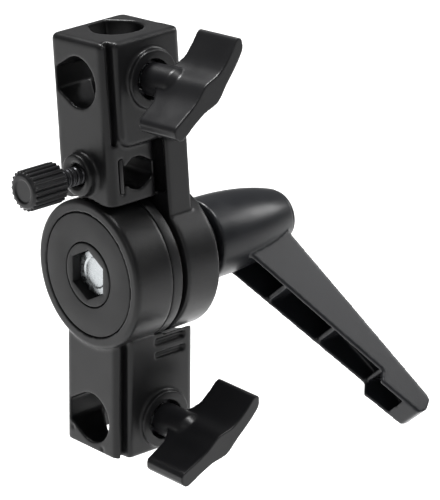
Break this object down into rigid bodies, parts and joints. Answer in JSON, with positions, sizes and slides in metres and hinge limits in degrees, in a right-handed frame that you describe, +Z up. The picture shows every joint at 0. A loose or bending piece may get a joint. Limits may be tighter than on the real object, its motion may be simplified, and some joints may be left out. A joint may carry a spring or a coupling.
{
  "type": "umbrella swivel bracket",
  "caption": "Tilting stand bracket: two clamp blocks on a lever-locked friction pivot, with stud sockets, wing clamp screws and an umbrella hole with its own thumb screw.",
  "frame": {"origin": "centre of the lower vertical socket's mouth, on the bottom face of the lower block", "axes": "+Z up along the lower socket, +Y along the tilt axis towards the lever, +X towards the wing knobs"},
  "size_m": [0.0792, 0.122, 0.1442],
  "materials": {
    "black_plastic": "satin moulded glass-filled plastic, fine grain",
    "lever_plastic": "satin moulded plastic, slightly blue-grey",
    "knob_plastic": "satin moulded plastic",
    "shoe_plastic": "plain moulded plastic",
    "lining": "dull pressed fibre lining",
    "zinc_bolt": "bright zinc plate",
    "zinc_steel": "zinc plate",
    "dark_steel": "black oxide",
    "insert_brass": "plain machined brass"
  },
  "bodies": {
    "lower": {"lower_body": "black_plastic", "drum_cover": "black_plastic", "bolt_keeper": "black_plastic", "pivot_bolt": "zinc_bolt", "bolt_washer": "zinc_steel", "friction_ring": "black_plastic", "friction_disc": "lining", "lower_clamp_insert": "dark_steel"},
    "upper": {"upper_body": "black_plastic", "pivot_bush": "insert_brass", "upper_clamp_insert": "dark_steel", "thumb_nut_plate": "black_plastic"},
    "lever_carrier": {"thrust_washer": "zinc_steel"},
    "nut": {"lever_nut": "dark_steel", "lever_screw": "zinc_steel", "lever_spring": "zinc_steel"},
    "handle": {"lever_handle": "lever_plastic", "lever_end_cap": "lever_plastic"},
    "upper_shoe": {"upper_clamp_shoe": "shoe_plastic"},
    "upper_wing": {"upper_wing_knob": "knob_plastic", "upper_clamp_screw": "zinc_steel"},
    "lower_shoe": {"lower_clamp_shoe": "shoe_plastic"},
    "lower_wing": {"lower_wing_knob": "knob_plastic", "lower_clamp_screw": "zinc_steel"},
    "thumb_pad": {"thumb_shoe": "shoe_plastic"},
    "thumb": {"thumb_knob": "knob_plastic", "thumb_screw": "dark_steel"}
  },
  "joints": [
    {"name": "tilt", "type": "hinge", "parent": "lower", "child": "upper", "pos_m": [0, -0.0184, 0.0596], "axis": [0, 1, 0], "range_deg": [-84.6, 80.4]},
    {"name": "lever_travel", "type": "slide", "parent": "lower", "child": "lever_carrier", "axis": [0, 1, 0], "range_m": [0, 0.00079]},
    {"name": "lever_turn", "type": "hinge", "parent": "lever_carrier", "child": "nut", "pos_m": [0, 0.0216, 0.0596], "axis": [0, 1, 0], "range_deg": [0, 180]},
    {"name": "handle_lift", "type": "slide", "parent": "nut", "child": "handle", "axis": [0, 1, 0], "range_m": [0, 0.004], "stiffness_N_per_m": 600, "springref_m": -0.003, "deforming": ["lever_spring"]},
    {"name": "upper_clamp_travel", "type": "slide", "parent": "upper", "child": "upper_shoe", "axis": [-0.9956, 0, -0.0941], "range_m": [0, 0.003]},
    {"name": "upper_wing_turn", "type": "hinge", "parent": "upper_shoe", "child": "upper_wing", "pos_m": [0.01408, 0, 0.12321], "axis": [-0.9956, 0, -0.0941], "range_deg": [0, 865]},
    {"name": "lower_clamp_travel", "type": "slide", "parent": "lower", "child": "lower_shoe", "axis": [-1, 0, 0], "range_m": [0, 0.003]},
    {"name": "lower_wing_turn", "type": "hinge", "parent": "lower_shoe", "child": "lower_wing", "pos_m": [0.02, 0, 0.0108], "axis": [-1, 0, 0], "range_deg": [0, 865]},
    {"name": "thumb_travel", "type": "slide", "parent": "upper", "child": "thumb_pad", "axis": [0, 1, 0], "range_m": [0, 0.006]},
    {"name": "thumb_turn", "type": "hinge", "parent": "thumb_pad", "child": "thumb", "pos_m": [-0.00309, -0.0284, 0.09225], "axis": [0, 1, 0], "range_deg": [0, 2161]}
  ],
  "couplings": [
    {"joint": "lever_turn", "follows": "lever_travel", "rad_per_m": 3957.9},
    {"joint": "upper_wing_turn", "follows": "upper_clamp_travel", "rad_per_m": 5026.5},
    {"joint": "lower_wing_turn", "follows": "lower_clamp_travel", "rad_per_m": 5026.5},
    {"joint": "thumb_turn", "follows": "thumb_travel", "rad_per_m": 6283.2}
  ]
}
